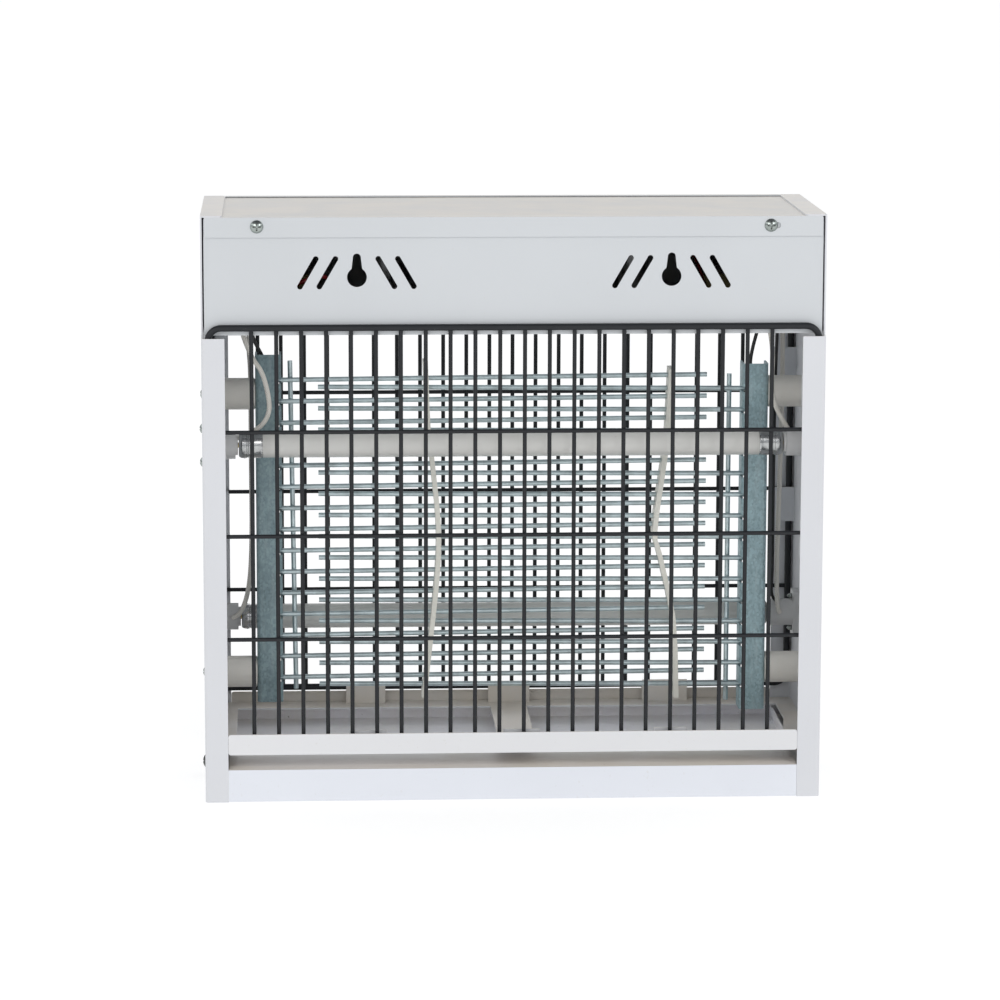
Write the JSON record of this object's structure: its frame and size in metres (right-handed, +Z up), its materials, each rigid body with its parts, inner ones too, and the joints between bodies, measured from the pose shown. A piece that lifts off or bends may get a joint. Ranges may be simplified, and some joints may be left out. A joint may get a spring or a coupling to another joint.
{
  "type": "electric bug zapper",
  "caption": "Sheet-metal insect killer with ultraviolet tubes, a high-voltage rod grid, wire guards and a pull-out catch tray.",
  "frame": {"origin": "on the surface it stands on, under the middle of the cabinet", "axes": "+X to the right seen from the keyhole side, +Y from the keyhole side to the other side, +Z up"},
  "size_m": [0.3808, 0.14, 0.357],
  "materials": {
    "white_paint": "semi-gloss powder coat",
    "black_wire_coat": "semi-gloss dip coat",
    "galvanised_sheet": "mottled zinc",
    "zinc_rod": "satin zinc plate",
    "zinc_screw": "bright zinc plate",
    "dark_screw": "dark plate",
    "cap_metal": "satin",
    "brass_pin": "satin",
    "tube_glass": "phosphor-coated inside",
    "lamp_plastic": "moulded",
    "insulator_body": "moulded",
    "cream_plastic": "moulded",
    "cream_sleeve": "woven sleeve",
    "black_lead": "insulated wire",
    "red_lead": "insulated wire",
    "core_steel": "laminated, varnished",
    "coil_tape": "taped winding",
    "starter_can": "satin"
  },
  "bodies": {
    "cabinet": {"left_side_panel": "white_paint", "right_side_panel": "white_paint", "top_housing": "white_paint", "top_cover": "white_paint", "cover_screws": "zinc_screw", "base_plinth": "white_paint", "base_screws": "dark_screw", "deck_frame": "white_paint", "front_lamp_holders": "lamp_plastic", "rear_lamp_holders": "lamp_plastic", "holder_screws": "zinc_screw", "left_grid_channel": "galvanised_sheet", "right_grid_channel": "galvanised_sheet", "left_comb": "zinc_rod", "right_comb": "zinc_rod", "left_spacer_strip": "cream_plastic", "right_spacer_strip": "cream_plastic", "grid_insulators": "insulator_body", "insulator_screws": "zinc_screw", "transformer_core": "core_steel", "transformer_coil": "coil_tape", "choke_cores": "core_steel", "choke_coils": "coil_tape", "component_screws": "zinc_screw", "starter_sockets": "lamp_plastic", "terminal_block": "cream_plastic", "terminal_screws": "brass_pin", "grid_leads": "black_lead", "lamp_lead_sleeves": "cream_sleeve", "lamp_leads": "black_lead", "box_leads": "red_lead"},
    "tray": {"catch_tray": "white_paint"},
    "guard_front": {"front_guard": "black_wire_coat"},
    "guard_rear": {"rear_guard": "black_wire_coat"},
    "tube_front": {"front_tube_glass": "tube_glass", "front_tube_caps": "cap_metal", "front_tube_pins": "brass_pin", "front_tube_collars": "lamp_plastic"},
    "tube_rear": {"rear_tube_glass": "tube_glass", "rear_tube_caps": "cap_metal", "rear_tube_pins": "brass_pin", "rear_tube_collars": "lamp_plastic"},
    "starter_left": {"left_starter": "starter_can"},
    "starter_right": {"right_starter": "starter_can"}
  },
  "joints": [
    {"name": "tray_slide", "type": "slide", "parent": "cabinet", "child": "tray", "axis": [0, -1, 0], "range_m": [0, 0.12]},
    {"name": "front_guard_lift", "type": "slide", "parent": "cabinet", "child": "guard_front", "axis": [0, 0, 1], "range_m": [0, 0.05]},
    {"name": "rear_guard_lift", "type": "slide", "parent": "cabinet", "child": "guard_rear", "axis": [0, 0, 1], "range_m": [0, 0.045]},
    {"name": "front_tube_turn", "type": "hinge", "parent": "cabinet", "child": "tube_front", "pos_m": [0, -0.035, 0.2145], "axis": [1, 0, 0], "range_deg": [0, 90]},
    {"name": "rear_tube_turn", "type": "hinge", "parent": "cabinet", "child": "tube_rear", "pos_m": [0, 0.035, 0.0943], "axis": [1, 0, 0], "range_deg": [0, 90]},
    {"name": "left_starter_twist", "type": "hinge", "parent": "cabinet", "child": "starter_left", "pos_m": [-0.075, 0.01, 0.29], "axis": [0, 0, 1], "range_deg": [0, 40]},
    {"name": "right_starter_twist", "type": "hinge", "parent": "cabinet", "child": "starter_right", "pos_m": [0.075, 0.01, 0.29], "axis": [0, 0, 1], "range_deg": [0, 40]}
  ]
}
